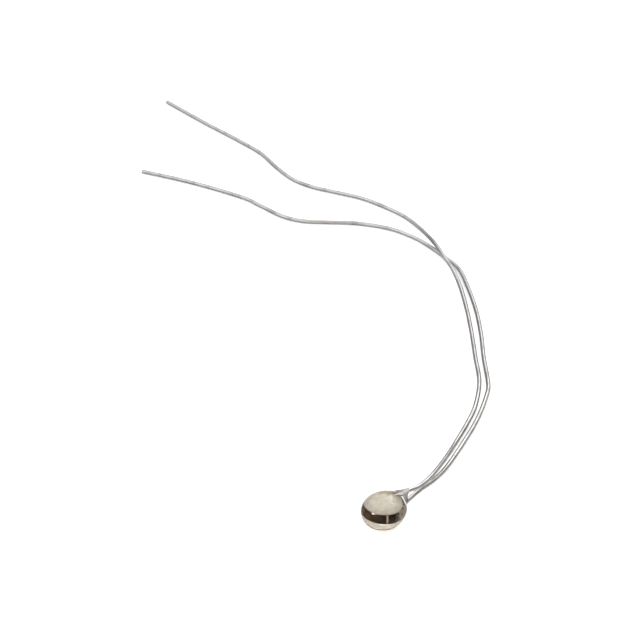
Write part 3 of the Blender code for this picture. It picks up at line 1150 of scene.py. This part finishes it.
@dataclass(frozen=True)
class Lamp:
    """One soft round lamp that lights a single piece, so that the bead has a glint and the wires none."""

    name: str
    place: Triple
    size: float
    power: float
    only: str

    def build(self, aim: Vector) -> None:
        """Add the lamp.

        Args:
            aim: The point that it faces.
        """
        light = bpy.data.lights.new(self.name, "AREA")
        light.shape = "DISK"
        light.size = self.size
        light.energy = self.power
        lamp = put(self.name, light)
        lamp.visible_diffuse = False
        lamp.location = self.place
        lamp.rotation_euler = (aim - lamp.location).to_track_quat("-Z", "Y").to_euler()
        reach = bpy.data.collections.new(self.name + "_reach")
        reach.objects.link(bpy.data.objects[self.only])
        lamp.light_linking.receiver_collection = reach


@dataclass(frozen=True)
class Card:
    """A dark card that stands upright on the table, far out, and shows only in gloss."""

    name: str
    start: float
    end: float
    height: float
    distance: float = 0.7
    steps: int = 24

    def build(self, material: Material) -> None:
        """Add the card, bent round the part, from its first bearing to its last.

        Args:
            material: The black card.
        """
        bm = bmesh.new()
        rows = []
        for index in range(self.steps + 1):
            bearing = math.radians(self.start + (self.end - self.start) * index / self.steps)
            foot = Vector((math.sin(bearing), -math.cos(bearing), 0.0)) * self.distance
            rows.append((bm.verts.new(foot), bm.verts.new(foot + Vector((0.0, 0.0, self.height)))))
        for near, after in zip(rows, rows[1:]):
            bm.faces.new((near[0], after[0], after[1], near[1]))
        card = put(self.name, plain_mesh(bm, self.name))
        card.data.materials.append(material)
        card.visible_camera = False
        card.visible_diffuse = False
        card.visible_transmission = False


@dataclass(frozen=True)
class Window:
    """A bright part of the surroundings. Its outer edge and its full part are cosines off the way to it."""

    way: Triple
    strength: float
    edge: float
    full: float = 0.96


@dataclass(frozen=True)
class Studio:
    """White floor, soft light and the camera."""

    floor_radius: float = 3.0
    floor_drop: float = 0.02 * MM
    floor_sides: int = 96
    distance: float = 139.97 * MM
    elevation: float = math.radians(33.0)
    aim: Pair = (1.045 * MM, -3.212 * MM)
    lens: float = 133.93
    sensor: float = 36.0
    near: float = 0.001
    far: float = 10.0
    low_sky: float = 0.95
    low_edge: Pair = (0.14, 0.22)
    side_sky: float = 0.50
    roof_sky: float = 0.80
    roof_edge: Pair = (0.60, 0.86)
    rear_window: Window = Window((0.50, 0.66, 0.56), 1.9, 0.60)
    front_window: Window = Window((-0.60, -0.57, 0.56), 1.2, 0.76)
    left_window: Window = Window((-0.85, 0.15, 0.50), 1.1, 0.78)
    neutral: Colour = (1.0, 1.0, 1.0)
    cool: Colour = (0.84, 0.93, 1.06)
    cool_edge: Pair = (0.55, 0.85)
    cards: tuple[Card, ...] = (
        Card("dark_card_right", 25.0, 125.0, 0.42),
        Card("dark_card_far", 125.0, 235.0, 0.28),
        Card("dark_card_left", 235.0, 330.0, 0.22),
    )
    lamp: Lamp = Lamp("front_left_lamp", (-0.138, -0.150, 0.066), 0.050, 0.58, "clear_bead")

    def build_floor(self, finish: FloorFinish) -> None:
        """Add the table top that the part lies on.

        Args:
            finish: Its finish.
        """
        bm = bmesh.new()
        bmesh.ops.create_circle(bm, cap_ends=True, segments=self.floor_sides, radius=self.floor_radius)
        bmesh.ops.translate(bm, vec=(0.0, 0.0, -self.floor_drop), verts=bm.verts)
        floor = put("table_top", plain_mesh(bm, "table_top"))
        floor.data.materials.append(finish.material())

    def build_sky(self) -> None:
        """Set the surroundings: a pale rim, darker sides, a pale roof and three windows.

        The windows stand behind, in front and at the left. Gloss sees the left side a little cooler.
        """
        world = bpy.data.worlds.new("soft_room")
        bpy.context.scene.world = world
        world.use_nodes = True
        desk = NodeDesk(world.node_tree)
        way = desk.add("ShaderNodeTexCoord").outputs["Generated"]
        height = desk.part(way, "Z")
        sky = desk.span(height, *self.roof_edge, self.side_sky, self.roof_sky)
        facing = {}
        for window in (self.rear_window, self.front_window, self.left_window):
            facing[window] = desk.vectors("DOT_PRODUCT", way, Vector(window.way).normalized())
            glow = desk.span(facing[window], window.edge, window.full, 0.0, window.strength)
            sky = desk.math("ADD", sky, glow)
        above = desk.span(height, *self.low_edge)
        level = desk.math("MULTIPLY_ADD", above, desk.math("SUBTRACT", sky, self.low_sky), self.low_sky)
        left = desk.span(facing[self.left_window], *self.cool_edge)
        gloss = desk.math("MULTIPLY", desk.add("ShaderNodeLightPath").outputs["Is Glossy Ray"], above)
        cast = desk.blend(desk.math("MULTIPLY", left, gloss), self.neutral, self.cool)
        desk.feed(world.node_tree.nodes["Background"], {"Strength": level, "Color": cast})

    def build_camera(self) -> None:
        """Set the camera at the photograph's angle."""
        data = bpy.data.cameras.new("camera")
        data.sensor_width = self.sensor
        data.lens = self.lens
        data.clip_start = self.near
        data.clip_end = self.far
        camera = put("camera", data)
        back = self.distance * math.cos(self.elevation)
        up = self.distance * math.sin(self.elevation)
        camera.location = (self.aim[0], self.aim[1] - back, up)
        camera.rotation_euler = (math.pi / 2 - self.elevation, 0.0, 0.0)
        bpy.context.scene.camera = camera

    def build(self, head: Head) -> None:
        """Build floor, surroundings, cards, lamp and camera.

        Args:
            head: Place of the bead, which the lamp faces.
        """
        self.build_floor(FloorFinish())
        self.build_sky()
        black = CardFinish().material()
        for card in self.cards:
            card.build(black)
        self.lamp.build(head.centre)
        self.build_camera()
        bpy.context.scene.view_settings.view_transform = "Standard"


def main() -> None:
    """Build the pieces in order, from the chip outwards, and then the studio."""
    logging.basicConfig(level=logging.INFO, format="%(name)s: %(message)s")
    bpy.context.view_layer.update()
    low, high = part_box("ntc_chip")
    head = Head(centre=(low + high) / 2)
    sizes = Sizes()
    Chip(sizes, head).build(CeramicFinish())
    # Painted light: the bottom face gets a paler copy of the silver, standing in for the floor's light that
    # reaches it through the resin.
    painted_lit_silver = SilverFinish("fresh_fired_silver", cream=(0.94, 0.88, 0.78), grey=(0.86, 0.80, 0.71),
                         bright=(0.95, 0.91, 0.84), tan=(0.90, 0.83, 0.71))
    silver = {Side.TOP: SilverFinish().material(head), Side.BOTTOM: painted_lit_silver.material(head)}
    solder = SolderFinish().material(head)
    tin = TinFinish().material()
    tree = WireTree()
    for side, route, seed in ((Side.TOP, TOP_ROUTE, 3), (Side.BOTTOM, BOTTOM_ROUTE, 8)):
        SilveredFace(sizes, head, side).build(silver[side])
        SolderJoint(sizes, head, side).build(solder)
        Lead(sizes, head, side, route, seed=seed).build(tree, tin)
    ResinBead(sizes, head).build(ResinFinish())
    Studio().build(head)


if __name__ == "__main__":
    main()
